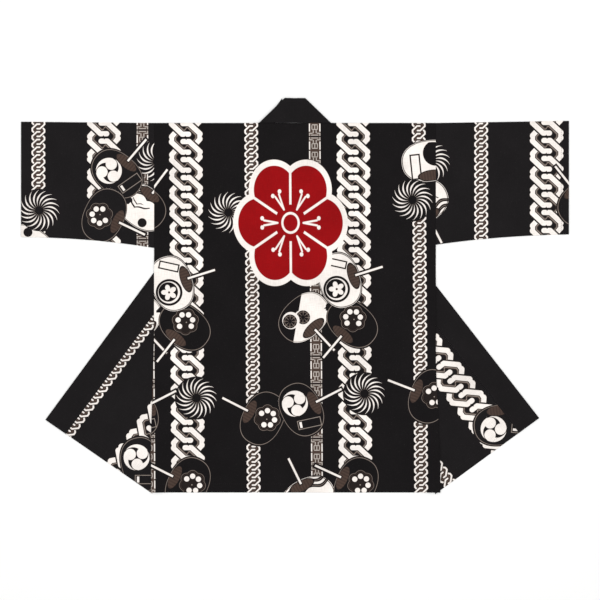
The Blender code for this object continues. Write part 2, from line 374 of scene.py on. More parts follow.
SLEEVE_MOTIFS = {
    -1: (Motif(DOTS, -445, -215.5, 64.6), Motif(COMMAS, -415, -118.5, 139.7),
         Motif(WAVES, -356, -195.5, 143), Motif(PINWHEEL, -322, -90.2, 0),
         Motif(PINWHEEL, -596.5, -204, 0), Motif(WAVES, -620, -292, -32)),
    1: (Motif(WAVES, 294.4, -186.2, 27), Motif(PINWHEEL, 314, -90, 0),
        Motif(DOTS, 672.5, -183.5, -141.5)),
}
WEDGE_MOTIFS = {
    -1: (Motif(COMMAS, -357.8, -796.5, 105),),
    1: (Motif(COMMAS + NO_HANDLE, 481, -704, 189),),
}
BODY_REACH = 72.0             # a fan's body and a pinwheel reach this far from their middle
HANDLE_REACH = (9.0, 116.0)   # and a handle this far to both sides and down
FAR_AWAY = 5000.0             # where a motif is put that doesn't show


def nearest_motifs(corners, motifs):
    """For every triangle the two topmost motifs that touch it: their own coordinates at its
    corners and their kinds. A motif later in the list lies under the ones before it."""
    count = len(corners)
    places = np.full((2, count, 3, 2), FAR_AWAY)
    kinds = np.zeros((2, count))
    found = np.zeros(count, dtype=int)
    for motif in motifs:
        turn = math.radians(motif.turn)
        side = np.array((math.cos(turn), math.sin(turn)))
        up = np.array((-math.sin(turn), math.cos(turn)))
        away = corners - np.array((motif.x, motif.y))
        local = np.stack((away @ side, away @ up), axis=-1)
        body = np.linalg.norm(local, axis=-1).min(axis=-1) < BODY_REACH
        handle = ((np.abs(local[..., 0]) < HANDLE_REACH[0]) & (local[..., 1] < 0)
                  & (local[..., 1] > -HANDLE_REACH[1])).any(axis=-1)
        touches = body | (handle & (motif.kind != PINWHEEL))
        for layer in (0, 1):
            here = touches & (found == layer)
            places[layer, here] = local[here]
            kinds[layer, here] = motif.kind
        found[touches] += 1
    return places, kinds


def print_maps(cloth, printed, groups):
    """UV maps of the printed cloth at every triangle's corners.

    cloth is the place on the flat cloth in metres, printed tells the printed face from the back
    of the cloth, and groups say which triangles have which motifs, with the triangles' places in
    millimetres between the two.
    """
    count = len(cloth)
    places = np.full((2, count, 3, 2), FAR_AWAY)
    kinds = np.zeros((2, count))
    for mask, xy, motifs in groups:
        if mask.any():
            places[:, mask], kinds[:, mask] = nearest_motifs(xy[mask], motifs)
    face = np.zeros((count, 3, 2))
    face[..., 0] = printed[:, None]
    return {"cloth": cloth, "upper": places[0] / 1000, "lower": places[1] / 1000,
            "kinds": np.repeat(kinds.T[:, None, :], 3, axis=1), "face": face}


# Materials

def linear(red, green, blue):
    """A colour as it is seen on a screen, 0 to 255, as a share of light."""
    share = np.array((red, green, blue)) / 255
    light = np.where(share <= 0.04045, share / 12.92, ((share + 0.055) / 1.055) ** 2.4)
    return (*[float(x) for x in light], 1.0)


class Value:
    """A socket of a material. Python's operators on it add Math nodes."""

    def __init__(self, paint, socket):
        self.paint, self.socket = paint, socket

    def math(self, operation, *others):
        return self.paint.math(operation, self, *others)

    def __add__(self, other):
        return self.math("ADD", other)

    __radd__ = __add__

    def __sub__(self, other):
        return self.math("SUBTRACT", other)

    def __rsub__(self, other):
        return self.paint.math("SUBTRACT", other, self)

    def __mul__(self, other):
        return self.math("MULTIPLY", other)

    __rmul__ = __mul__

    def __truediv__(self, other):
        return self.math("DIVIDE", other)

    def __neg__(self):
        return self.math("MULTIPLY", -1.0)

    def __abs__(self):
        return self.math("ABSOLUTE")

    def low(self, other):
        return self.math("MINIMUM", other)

    def high(self, other):
        return self.math("MAXIMUM", other)

    def wrap(self, low, high):
        return self.math("WRAP", high, low)

    def inside(self, soft=0.35):
        """1 where the distance is negative and 0 where it is positive, with a soft edge."""
        return self.paint.ramp(self, -soft, soft, 1.0, 0.0)

    def near(self, place, half, soft=0.35):
        """1 within half of a place."""
        return (abs(self - place) - half).inside(soft)


def set_stops(elements, stops):
    """Put the stops of a colour ramp, which starts with two."""
    for element, stop in ((elements[0], stops[0]), (elements[1], stops[-1])):
        element.position, element.color = stop
    for position, colour in stops[1:-1]:
        elements.new(position).color = colour


class Paint:
    """The nodes of one material."""

    def __init__(self, name):
        self.material = bpy.data.materials.new(name)
        self.material.use_nodes = True
        self.tree = self.material.node_tree

    def node(self, kind, settings=None, values=(), output=0):
        """One output of a new node, from its settings and the values or links of its sockets."""
        node = self.tree.nodes.new(kind)
        for key, setting in (settings or {}).items():
            if key == "stops":
                set_stops(node.color_ramp.elements, setting)
            else:
                setattr(node, key, setting)
        self.plug(node, dict(values) if isinstance(values, dict) else dict(enumerate(values)))
        return Value(self, node.outputs[output])

    def plug(self, node, values):
        for key, value in values.items():
            if isinstance(value, Value):
                self.tree.links.new(value.socket, node.inputs[key])
            else:
                node.inputs[key].default_value = value

    def surface(self, values):
        """The finished material, with these values or links in the sockets of its shader."""
        self.plug(self.tree.nodes["Principled BSDF"], values)
        return self.material

    def math(self, operation, *values):
        return self.node("ShaderNodeMath", {"operation": operation}, values)

    def ramp(self, value, low, high, first, last):
        return self.node("ShaderNodeMapRange", {"clamp": True}, (value, low, high, first, last))

    def mix(self, share, first, second):
        return self.node("ShaderNodeMix", {"data_type": "FLOAT"}, {0: share, 2: first, 3: second})

    def mix_vector(self, share, first, second):
        return self.node("ShaderNodeMix", {"data_type": "VECTOR"},
                         {0: share, 4: first, 5: second}, 1)

    def mix_colour(self, share, first, second, way="MIX"):
        return self.node("ShaderNodeMix", {"data_type": "RGBA", "blend_type": way},
                         {0: share, 6: first, 7: second}, 2)

    def layers(self, tone, *rows):
        """Shades laid on a tone. Each row has a distance that is negative inside, the shade
        there, and the softness of its edge where that isn't the usual one."""
        for distance, shade, *soft in rows:
            tone = self.mix(distance.inside(*soft), tone, shade)
        return tone

    def vector(self, operation, *values):
        single = operation in ("LENGTH", "DOT_PRODUCT", "DISTANCE")
        return self.node("ShaderNodeVectorMath", {"operation": operation}, values, int(single))

    def point(self, x, y):
        return self.node("ShaderNodeCombineXYZ", values=(x, y, 0.0))

    def parts(self, vector):
        x = self.node("ShaderNodeSeparateXYZ", values=(vector,))
        return x, Value(self, x.socket.node.outputs[1])

    def map(self, name, scale=1.0):
        found = self.node("ShaderNodeUVMap", {"uv_map": name})
        return found if scale == 1.0 else self.vector("MULTIPLY", found, (scale, scale, scale))

    def noise(self, vector, scale, detail=2.0):
        return self.node("ShaderNodeTexNoise", {"noise_dimensions": "3D"},
                         {"Vector": vector, "Scale": scale, "Detail": detail})

    def capsule(self, point, start, end):
        """Distance of a point from a straight line between two places."""
        (x0, y0), (x1, y1) = start, end
        dx, dy = x1 - x0, y1 - y0
        square = dx * dx + dy * dy
        away = self.vector("SUBTRACT", point, (x0, y0, 0.0))
        share = self.vector("DOT_PRODUCT", away, (dx / square, dy / square, 0.0))
        share = self.ramp(share, 0.0, 1.0, 0.0, 1.0)
        return self.vector("LENGTH", self.vector("MULTIPLY_ADD", share, (-dx, -dy, 0.0), away))

    def box(self, x, y, place, half):
        """Distance from the inside of an upright rectangle."""
        return (abs(x - place[0]) - half[0]).high(abs(y - place[1]) - half[1])


# Shades of the print, from the black ground to the off-white
BLACK, BROWN, LINE, LIGHT = 0.0, 0.30, 0.62, 1.0

# The left half of a chain's link in millimetres. A stroke has the place where the repeat that
# holds it starts, and its two ends. A notch has such a place and a middle.
LINK_REPEAT = 42.0
SLANT = (-22.0, (-33.2, 11.2), (-8.2, -12.4))
TUCK = (9.0, (-25.6, 32.0), (-32.9, 24.0))
BARS = ((-2.5, (-32.9, 24.0), (-33.2, 11.2)), (-34.0, (-8.2, -12.4), (0.0, -12.4)),
        (-8.0, (-6.5, 12.4), (0.0, 12.4)))
NOTCHES = ((-2.5, (-41.3, 17.6, 0.0)), (-34.0, (0.6, -20.2, 0.0)))
NOTCH_RADIUS = 3.9
RAILS = ((-2.5, (-18.6, 27.5), (-23.9, 21.5)), (-2.5, (-23.9, 21.5), (-23.9, 14.5)),
         (-22.0, (-23.9, 14.5), (-4.2, -4.0)), (-22.0, (-4.2, -4.0), (0.0, -1.0)))


def chain(paint, x, y, scale, half, mirrored, lined):
    """Shade of a stripe of flat curb links.

    One link is two hooked bars, each the other turned half round, so places right of the middle
    are turned to the left. A bar runs from a short slanted end that is tucked under its
    neighbour, down one side, along the slant and level to the middle.
    """
    if mirrored:
        x = -x
    turn = x.math("SIGN") * -1.0
    x = -abs(x)
    y = y * turn

    def at(low):
        return paint.point(x, y.wrap(low * scale, (low + LINK_REPEAT) * scale))

    def bar(low, start, end):
        places = [(px * scale, py * scale) for px, py in (start, end)]
        return paint.capsule(at(low), *places)

    slant = bar(*SLANT)
    main = reduce(Value.low, [bar(*row) for row in BARS], slant)
    tucked = (bar(*TUCK) - half).high(half + 3.3 * scale - slant)
    bars = (main - half).low(tucked)
    if lined:
        for low, middle in NOTCHES:
            bars = bars.high(NOTCH_RADIUS - paint.vector("DISTANCE", at(low), middle))
        rail = reduce(Value.low, [bar(*row) for row in RAILS])
        tone = paint.layers(BLACK, (rail - 2.5, BROWN * 0.8, 0.5), (rail - 0.85, LINE, 0.5))
    else:
        tone = paint.layers(BLACK, (abs(x) - 10.5, BROWN))
    return paint.layers(tone, (bars - 1.3, BLACK, 0.5), (bars, LIGHT))


# Pale bars of the key frets, right of the middle in half a repeat: middle and half sizes
FRET_HALF = 32.0
FRETS = (((0.0, 4.6), (6.6, 1.2)), ((0.0, 9.6), (1.2, 4.4)), ((6.4, 10.6), (1.1, 4.6)),
         ((0.0, 15.4), (6.6, 1.1)), ((3.4, 20.6), (1.2, 3.6)), ((9.2, 24.4), (4.2, 1.2)),
         ((0.0, 28.6), (8.6, 1.1)), ((12.0, 27.6), (1.2, 3.0)))
FRET_SIDE = ((12.1, 11.0), (1.4, 9.4))
FRET_BREAK = ((0.0, FRET_HALF), (20.0, 1.2))
FRET_TONE = 0.72


def meander(paint, x, y):
    """A narrow stripe of key frets: two small frames that face each other in each repeat."""
    far, y = abs(x), y.math("PINGPONG", FRET_HALF)
    pale = reduce(Value.low, [paint.box(far, y, *row) for row in FRETS])
    return paint.layers(BLACK, (far - 13.4, BROWN * 0.9), (pale, FRET_TONE),
                        (paint.box(far, y, *FRET_SIDE), LIGHT),
                        (paint.box(far, y, *FRET_BREAK), BLACK))


def stripes(paint, x, y):
    """All stripes of the cloth: wide chain, narrow chain and meander in each repeat."""
    def across(middle):
        return (x - middle).wrap(-REPEAT / 2, REPEAT / 2)

    tone = chain(paint, across(0.0), y + 13.8, scale=1.0, half=6.1, mirrored=False, lined=True)
    tone = tone.high(chain(paint, across(NARROW_AT), y + 12.4, scale=0.428, half=2.0,
                           mirrored=True, lined=False))
    return tone.high(meander(paint, across(MEANDER_AT), y))


FAN_HALF, FAN_MEAN, FAN_POWER = (65.0, 48.0), 54.0, 2.3
HANDLE_AT, HANDLE_HALF = (0.0, -72.0), (4.5, 35.5)
NECK_AT, NECK_HALVES = (0.0, -34.0), (28.5, 11.5)
WHEEL_RADIUS = 48.5
CRESTS = ((DOTS, -5.5, 9.4), (COMMAS, 19.0, 7.0), (RING, -17.8, 12.4), (WAVES, -22.0, 30.0),
          (MOON, 16.7, 16.2))


def fan_edge(x, y):
    """How far a place lies outside the rounded body of a fan, about."""
    p, q = [(abs(at) / half).math("POWER", FAN_POWER) for at, half in zip((x, y), FAN_HALF)]
    return ((p + q).math("POWER", 1 / FAN_POWER) - 1.0) * FAN_MEAN


def handle_edge(paint, x, y, kind):
    hidden = kind.math("FRACT").near(NO_HANDLE, 0.1, 0.01)
    return paint.box(x, y, HANDLE_AT, HANDLE_HALF) + hidden * FAR_AWAY


def silhouette(paint, place, kind):
    """Distance outside a motif: a pinwheel's disc, or a fan's body and handle."""
    x, y = paint.parts(place)
    fan = fan_edge(x, y).low(handle_edge(paint, x, y, kind))
    wheel = paint.vector("LENGTH", place) - WHEEL_RADIUS
    return paint.mix(kind.math("COMPARE", float(PINWHEEL), 0.5), fan, wheel)


def on_ray(paint, radius, turned, far):
    """Distance from the place that lies far along a ray, for an angle measured from the ray."""
    return paint.vector("LENGTH", paint.point(radius * turned.math("COSINE") - far,
                                              radius * turned.math("SINE")))


def bare_frame(paint, x, y, middle, half, turn):
    """A frame with its long sides at an angle: distance from its line and from a bar in it."""
    way_x, way_y = math.cos(math.radians(turn)), math.sin(math.radians(turn))
    x, y = x - middle[0], y - middle[1]
    aside, along = y * way_x - x * way_y, x * way_x + y * way_y
    outside = paint.box(aside, along, (0.0, 0.0), half)
    bar = paint.box(aside, along, (0.0, 7.5 - half[1]), (half[0] - 3.6, 2.8))
    return abs(outside + 0.8) - 0.8, bar


def dots_face(paint, x, y, radius, angle):
    """Round dots in a ring, one of them left out, with a scalloped line round them."""
    turned = angle.wrap(-math.pi / 7, math.pi / 7)
    scallop = radius - 27.0 - abs((angle * 3.5).math("COSINE")) * 4.0
    tone = paint.layers(BLACK, (abs(scallop) - 0.6, LINE * 0.8),
                        (abs(scallop + 3.4) - 0.4, BROWN))
    tone = paint.mix((scallop + 5.0).inside(2.0) * 0.15, tone, BROWN)
    left_out = paint.vector("LENGTH", paint.point(x - 11.0, y + 14.0))
    dots = (on_ray(paint, radius, turned, 17.4) - 6.3).high(8.0 - left_out)
    return paint.layers(tone, (dots, LIGHT), (on_ray(paint, radius, angle, 3.0) - 1.6, LINE))


def commas_face(paint, x, y, radius, angle):
    """Three commas that chase each other round a disc, and a bare frame beside them."""
    third = 2 * math.pi / 3
    comma = (angle - 0.87).wrap(0.0, third)
    head = (angle - 0.87).wrap(-third / 2, third / 2)
    tail = (1.0 - comma * (1 / 1.95)).high(0.0) * 16.4
    commas = (30.3 - tail - radius).high(0.35 - tail).high(radius - 30.3)
    commas = commas.low(on_ray(paint, radius, head, 16.2) - 13.2)
    line, bar = bare_frame(paint, x, y, (-37.0, -2.6), (10.6, 27.7), -104.8)
    return paint.layers(BLACK, (commas, LIGHT), (line, LINE), (bar, LIGHT))


def ring_face(paint, x, y, cx, cy, radius, angle):
    """A plain blossom in a ring, and a bare frame beside it."""
    blossom = radius - 9.0 - abs((angle * 2.5).math("COSINE")) * 9.5
    inner = paint.vector("LENGTH", paint.point(cx - 1.6, cy - 1.6))
    line, _ = bare_frame(paint, x, y, (40.0, -5.4), (8.8, 23.3), -119.9)
    return paint.layers(LIGHT, (abs(radius - 28.4) - 2.6, BLACK), (inner - 22.6, BLACK),
                        (blossom, LIGHT), (radius - 2.6, BROWN), (line - 0.7, BLACK))


def wheels_face(paint, x, y):
    """Two halves with two small cart wheels, each in a crescent."""
    halves = paint.layers(BLACK, (y * 0.796 - x * 0.605 - 14.0, LIGHT))
    for wheel_x, wheel_y, lean_x, lean_y in ((-3.6, 0.1, 2.8, 0.9), (-26.7, 14.8, -2.9, 0.0)):
        wx, wy = x - wheel_x, y - wheel_y
        disc = paint.vector("LENGTH", paint.point(wx, wy)) - 20.2
        wx, wy = wx - lean_x, wy - lean_y
        hub = paint.vector("LENGTH", paint.point(wx, wy))
        spoke = abs((wx.math("ARCTAN2", wy) * 4.0).math("SINE"))
        spokes = paint.layers(BLACK, ((spoke - 0.36).high(4.0 - hub), LINE * 0.7, 0.15),
                              (abs(hub - 12.6) - 0.7, LINE * 0.7))
        halves = paint.layers(halves, (disc, LIGHT), (hub - 16.2, spokes))
    return halves


def waves_face(paint, x, y, radius):
    """Waves under a pale sky, with a hill's bold outline and a dark sun."""
    wave = y + (abs(x) * 0.11).math("SINE") * 5.0
    bank = abs(wave.wrap(0.0, 14.0) - 7.0)
    hill = abs(x - 14.0) * 0.8 + y - 14.0 + (x * 0.16).math("SINE") * 3.0
    return paint.layers(LIGHT, ((bank - 4.0).high(wave + 13.0), BLACK),
                        ((bank - 0.7).high(wave + 13.0), LINE * 0.8),
                        ((abs(hill) - 1.8).high(-(y + 8.0)), BLACK),
                        ((abs(hill + 9.0) - 1.2).high(-(y + 5.0)), BLACK),
                        (radius - 10.5, BLACK))


def moon_face(paint, x, y, radius, edge):
    """A plain dark moon at the edge, and a bare frame."""
    line, _ = bare_frame(paint, x, y, (-33.5, -9.7), (11.3, 29.0), -92.0)
    return paint.layers(LIGHT, ((radius - 29.5).high(edge + 5.5), BLACK), (line - 0.8, BLACK))


def pinwheel_face(paint, place, x, y):
    """Curved rays that thin towards both ends."""
    whole = paint.vector("LENGTH", place)
    swing = x.math("ARCTAN2", y) - whole * whole * 0.00030
    ray = (swing * (18 / (2 * math.pi))).wrap(-0.5, 0.5)
    width = paint.ramp(whole, 11.0, 25.0, 0.05, 0.205) * paint.ramp(whole, 32.0, 47.5, 1.0, 0.10)
    rays = ((abs(ray) - width) * whole * 0.35).high(10.0 - whole).high(whole - 47.5)
    return paint.layers(BLACK, (rays, LIGHT, 0.4))


def motif_tone(paint, place, kind):
    """Shade of a fan or a pinwheel at its own coordinates, the handle towards -y."""
    x, y = paint.parts(place)
    edge = fan_edge(x, y)

    def is_kind(number):
        return kind.math("COMPARE", float(number), 0.5)

    off_x, off_y = 0.0, 0.0
    for number, crest_x, crest_y in CRESTS:
        off_x = paint.mix(is_kind(number), off_x, crest_x)
        off_y = paint.mix(is_kind(number), off_y, crest_y)
    cx, cy = x - off_x, y - off_y
    radius = paint.vector("LENGTH", paint.point(cx, cy))
    angle = cy.math("ARCTAN2", cx)
    tone = commas_face(paint, x, y, radius, angle)
    for number, face in ((DOTS, dots_face(paint, cx, cy, radius, angle)),
                         (RING, ring_face(paint, x, y, cx, cy, radius, angle)),
                         (WHEELS, wheels_face(paint, x, y)),
                         (WAVES, waves_face(paint, x, y, radius)),
                         (MOON, moon_face(paint, x, y, radius, edge))):
        tone = paint.mix(is_kind(number), tone, face)

    # cap of the neck, line round the body, and handle
    neck = paint.vector("SUBTRACT", place, (*NECK_AT, 0.0))
    neck = paint.vector("MULTIPLY", neck, (1 / NECK_HALVES[0], 1 / NECK_HALVES[1], 0.0))
    neck = paint.vector("LENGTH", neck)
    rib = (x * 0.9).math("SINE") * 0.05 + BROWN * 0.82
    tone = paint.layers(tone, ((neck - 1.12) * 12.0, BLACK), ((neck - 1.0) * 12.0, rib))
    white = is_kind(RING) + is_kind(WAVES) + is_kind(MOON)
    tone = paint.mix(edge.near(-1.7, 0.62), tone, paint.mix(white, LINE * 0.92, BLACK))
    stick = handle_edge(paint, x, y, kind)
    tone = paint.layers(tone, (stick, BLACK), (stick + 2.0, LIGHT))
    return paint.mix(is_kind(PINWHEEL), tone, pinwheel_face(paint, place, x, y))


BLOSSOM_AT, BLOSSOM_STRETCH = (-12.0, -233.0, 0.0), (1.0, 0.84, 1.0)
PETAL_AT, PETAL_RADIUS, OUTLINE = 74.0, 48.0, 12.0


def red_blossom(paint, place, tone):
    """A large blossom with six round petals, white outline and white strokes.

    Returns the shade under it and how much red lies on a place.
    """
    place = paint.vector("MULTIPLY", paint.vector("SUBTRACT", place, BLOSSOM_AT),
                         BLOSSOM_STRETCH)
    x, y = paint.parts(place)
    radius = paint.vector("LENGTH", place)
    sixth = 2 * math.pi / 6
    turned = (x.math("ARCTAN2", y) - sixth / 2).wrap(-sixth / 2, sixth / 2)
    along, aside = radius * turned.math("COSINE"), radius * turned.math("SINE")
    petal = paint.vector("LENGTH", paint.point(along - PETAL_AT, aside)) - PETAL_RADIUS
    petal = petal.low(radius - 66.0)
    crack = ((sixth / 2 - abs(turned)) * radius - 2.6).high(36.0 - radius)
    half = paint.point(along, abs(aside))
    vein = paint.capsule(half, (30.0, 0.0), (62.0, 5.0)) - 1.9
    tip = paint.vector("DISTANCE", half, (66.0, 9.0, 0.0)) - 4.2
    strokes = crack.low(vein).low(tip).low(abs(radius - 19.0) - 2.4)
    return (paint.layers(tone, (petal - OUTLINE, LIGHT, 0.5)),
            petal.high(-strokes).inside(0.5))


THREAD_REPEAT = 0.75   # millimetres from one raised thread to the next


def thread_weave(paint, cloth, ground, rough):
    """The finished material of a cloth: weave bump, slub and lint on the flat cloth's own
    coordinates in millimetres."""
    x, y = paint.parts(cloth)
    pitch = 2 * math.pi / THREAD_REPEAT
    over = (x * pitch).math("SINE") * (y * pitch).math("SINE")
    slub = paint.noise(paint.vector("MULTIPLY", cloth, (0.9, 0.05, 1.0)), 1.0)
    slub = slub + paint.noise(paint.vector("MULTIPLY", cloth, (0.05, 0.9, 1.0)), 1.0)
    cloudy = paint.noise(cloth, 0.012, 3.0)
    shade = paint.ramp(cloudy, 0.3, 0.7, 0.90, 1.10) * paint.ramp(slub, 0.7, 1.3, 0.88, 1.12)
    ground = paint.mix_colour(1.0, ground, shade, "MULTIPLY")
    lint = paint.ramp(paint.noise(cloth, 0.35, 4.0), 0.62, 0.85, 0.0, 0.05)
    bump = paint.node("ShaderNodeBump", values={"Strength": 0.35, "Distance": 0.00012,
                                                "Height": over * 0.5 + slub * 0.6})
    return paint.surface({"Base Color": paint.mix_colour(lint, ground, linear(190, 184, 178)),
                          "Roughness": rough, "Normal": bump, "Specular IOR Level": 0.07,
                          "Sheen Weight": 0.015, "Sheen Roughness": 0.5})


INNER_SHARE = 0.30   # how much of the print shows through on the inner face


def printed_cotton(name, blossom):
    """Black cotton printed with stripes and fans. On the back it has a red blossom, and its black
    ground is painted darker there as painted shade.
    """
    paint = Paint(name)
    cloth = paint.map("cloth", 1000.0)
    x, y = paint.parts(cloth)
    upper_kind, lower_kind = paint.parts(paint.map("kinds"))
    upper, lower = paint.map("upper", 1000.0), paint.map("lower", 1000.0)
    upper_edge = silhouette(paint, upper, upper_kind)
    lower_edge = silhouette(paint, lower, lower_kind)
    pick = upper_edge.inside(0.05)
    place = paint.mix_vector(pick, lower, upper)
    kind = paint.mix(pick, lower_kind, upper_kind)
    edge = paint.mix(pick, lower_edge, upper_edge)
    tone = paint.layers(stripes(paint, x, y), (upper_edge.low(lower_edge) - 1.8, BLACK),
                        (edge, motif_tone(paint, place, kind)))
    if blossom:
        tone, red = red_blossom(paint, paint.point(x - 1000 * BACK_WIDE_AT, y), tone)
    # Painted shade: the back's black ground is painted darker than the same cloth on the fronts and
    # sleeves.
    ground = linear(21, 19, 20) if blossom else linear(26, 24, 25)
    stops = ((BLACK, ground), (BROWN, linear(76, 61, 54)),
             (LINE, linear(146, 136, 128)), (LIGHT, linear(238, 231, 225)))
    colour = paint.node("ShaderNodeValToRGB", {"stops": stops}, (tone,))
    if blossom:
        colour = paint.mix_colour(red, colour, linear(142, 8, 13))
    printed, _ = paint.parts(paint.map("face"))
    inner = paint.mix_colour(INNER_SHARE, linear(44, 41, 42), colour)
    colour = paint.mix_colour(printed.math("GREATER_THAN", 0.5), inner, colour)
    return thread_weave(paint, cloth, colour, paint.ramp(tone, 0.0, 1.0, 0.88, 0.80))


def collar_cotton():
    """Plain black cotton of the collar."""
    paint = Paint("collar_cotton")
    return thread_weave(paint, paint.map("cloth", 1000.0), linear(25, 23, 24), 0.86)


def pale_floor():
    paint = Paint("pale_floor")
    cloudy = paint.noise(paint.node("ShaderNodeTexCoord", output="Object"), 1.5, 2.0)
    colour = paint.mix_colour(cloudy, (0.90, 0.90, 0.895, 1.0), (0.92, 0.92, 0.915, 1.0))
    return paint.surface({"Base Color": colour, "Roughness": 0.9})


def black_thread():
    """Twisted black sewing thread."""
    paint = Paint("black_thread")
    place = paint.node("ShaderNodeTexCoord", output="Object")
    twist = paint.vector("DOT_PRODUCT", place, (7000.0, 5000.0, 3000.0)).math("SINE")
    shade = paint.ramp(twist, -1.0, 1.0, 0.75, 1.25)
    colour = paint.mix_colour(1.0, linear(30, 28, 29), shade, "MULTIPLY")
    return paint.surface({"Base Color": colour, "Roughness": 0.6, "Specular IOR Level": 0.2})


# Pieces

def in_frame(flat, height, side=1):
    """Outward places at a height, as places in the frame."""
    points = np.concatenate((flat, height[..., None]), axis=-1)
    return points * np.array((side, 1.0, 1.0)) + np.array((0.0, SHOULDER_Y, 0.0))


def dress(piece, node, material):
    piece.data.materials.append(material)
    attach(piece, "root")
    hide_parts(node)
    return piece


# The back widens towards the hem: side, how far, and between which places below the shoulder
BACK_FLARE = ((-1, 0.0070, -0.50, -0.72), (1, 0.0105, -0.56, -0.80))
PRINT_LEAN = 0.0068   # the back's print leans this much to the right for each metre down


def back_points(flat, out):
    """Places on the back. out is the distance from the middle of the cloth in halves of it."""
    height = cover_height(flat) + creases(flat, BACK_CREASES) + CLOTH / 2 * (1 + out)
    return in_frame(flat, height)


def make_back():
    """The back lies over the fronts: a single cloth along upright lines."""
    places, thin = edged(-BODY_HALF, BODY_HALF, STEP, CLOTH / 2)
    start = np.stack((places, 0 * places - BACK_LENGTH), axis=-1)
    end = np.stack((places, 0 * places), axis=-1)
    section = single_section(int(BACK_LENGTH / STEP))
    flat, out = along_lines(start, end, section, CLOTH / 2, thin)
    for side, reach, top, low in BACK_FLARE:
        share = np.clip(side * flat[..., 0] / BODY_HALF, 0, 1) ** 4
        flat[..., 0] += side * reach * share * np.clip((top - flat[..., 1]) / (top - low), 0, 1)

    def maps(pick):
        corners = pick(flat)
        cloth = corners + np.array((BACK_WIDE_AT, 0.0))
        cloth[..., 0] += PRINT_LEAN * corners[..., 1]
        everywhere = np.ones(len(corners), dtype=bool)
        return print_maps(cloth, pick(out).sum(axis=-1) > 0,
                          [(everywhere, corners * 1000, BACK_MOTIFS)])

    return closed_mesh("back_cloth", back_points(flat, out), maps)


def front_lines(front, outline, step):
    """Lines along the fold that fill a flat outline, from one corner to the opposite one.

    outline lists the corners of the flat panel anticlockwise. Each line is cut where it meets
    the sides of the outline.
    """
    start, across, along = fold_frame(front)
    corners = np.array(outline)
    past = (corners - start) @ across
    roll = ROLL * np.linspace(-1, 1, 9)
    places = spaced(past.min(), past.max(), step, sorted([*past, *roll]))
    low, high = np.full(len(places), -np.inf), np.full(len(places), np.inf)
    for here, there in zip(corners, np.roll(corners, -1, axis=0)):
        normal = np.array(((there - here)[1], -(there - here)[0]))
        slope = normal @ along
        limit = (here - start) @ normal - places * (across @ normal)
        if slope > TINY:
            high = np.minimum(high, limit / slope)
        elif slope < -TINY:
            low = np.maximum(low, limit / slope)
    high = np.maximum(high, low)
    base = start + places[:, None] * across
    thin = np.ones(len(places))
    thin[[0, -1]] = 0
    return base + low[:, None] * along, base + high[:, None] * along, thin


def hem_y(x):
    """Height of the front's hem, which dips towards the free edge."""
    share = (BODY_HALF - x) / (BODY_HALF - FREE_EDGE)
    return -FRONT_SIDE_LENGTH - (FRONT_EDGE_LENGTH - FRONT_SIDE_LENGTH) * share


# Middle of a wide chain on each front and sleeve, outward, and how far the print is moved along it
WIDE_AT, WIDE_SLIDE = {-1: 0.2384, 1: 0.1312}, {-1: -0.0173, 1: 0.0083}
SLEEVE_WIDE_AT, SLEEVE_SLIDE = {-1: 0.4456, 1: 0.5870}, {-1: 0.0155, 1: 0.0170}


def from_shoulder(points):
    """x and y of places in the frame, from the middle of the shoulder line."""
    return points[..., :2] - np.array((0.0, SHOULDER_Y))


def front_points(front, flat, out):
    """Places on a front, like those on the back, before and past its fold."""
    middle = CLOTH / 2 + table(flat[..., 0], SEAM_LIFT)
    points = in_frame(*fold_front(front, flat, middle, out * CLOTH / 2), front.side)
    ridges = creases(from_shoulder(points), WEDGE_CREASES[front.side])
    points[..., 2] += np.where(past_fold(front, flat) > 0, ridges, 0)
    return points


def make_front(front):
    """One front: a single cloth along lines parallel to its fold, from corner to corner."""
    seam = NECK_HALF + SEAM_GAP
    outline = ((seam, 0.0), (seam, hem_y(seam)), (BODY_HALF, hem_y(BODY_HALF)),
               (BODY_HALF, 0.0))
    start, end, thin = front_lines(front, outline, STEP)
    flat, out = along_lines(start, end, single_section(FRONT_STEPS), CLOTH / 2, thin)
    points = front_points(front, flat, out)

    def maps(pick):
        cloth = pick(flat) * np.array((front.side, -1.0))
        cloth = cloth + np.array((-front.side * WIDE_AT[front.side], WIDE_SLIDE[front.side]))
        folded = pick(past_fold(front, flat) > 0).all(axis=-1)
        over = pick(from_shoulder(points)) * 1000
        return print_maps(cloth, pick(out).sum(axis=-1) < 0, [
            (folded, over, WEDGE_MOTIFS[front.side]),
            (~folded, over * np.array((-1.0, 1.0)), BACK_MOTIFS)])

    return closed_mesh(f"front_cloth_{front.name}", points, maps)


def mitre_x(y):
    """Outward place of the slanted seam between the back collar and the side collar."""
    return NECK_HALF - y * (NECK_HALF - COLLAR_TOP_HALF) / COLLAR_WIDTH


def plain_maps(flat):
    return lambda pick: {"cloth": pick(flat)}


def collar_points(front, flat, out):
    """Places on the collar of a front, out in halves of its doubled cloth."""
    return in_frame(*fold_front(front, flat, BAND / 2, out * BAND / 2), front.side)


def make_collar_side(front):
    """The collar down one free edge: cloth folded double, turned with its front."""
    mitre_y = COLLAR_WIDTH * (NECK_HALF - FREE_EDGE) / (NECK_HALF - COLLAR_TOP_HALF)
    outline = ((FREE_EDGE, mitre_y), (FREE_EDGE, hem_y(FREE_EDGE)),
               (NECK_HALF, hem_y(NECK_HALF)), (NECK_HALF, 0.0))
    start, end, thin = front_lines(front, outline, BAND_STEP)
    flat, out = along_lines(start, end, doubled_section(BAND_STEPS), BAND / 2, thin)
    return closed_mesh(f"collar_cloth_{front.name}", collar_points(front, flat, out),
                       plain_maps(flat))


def neck_points(flat, out):
    """Places on the collar across the neck, out in halves of its doubled cloth."""
    return in_frame(flat, cover_height(flat) + BAND / 2 * (1 + out))


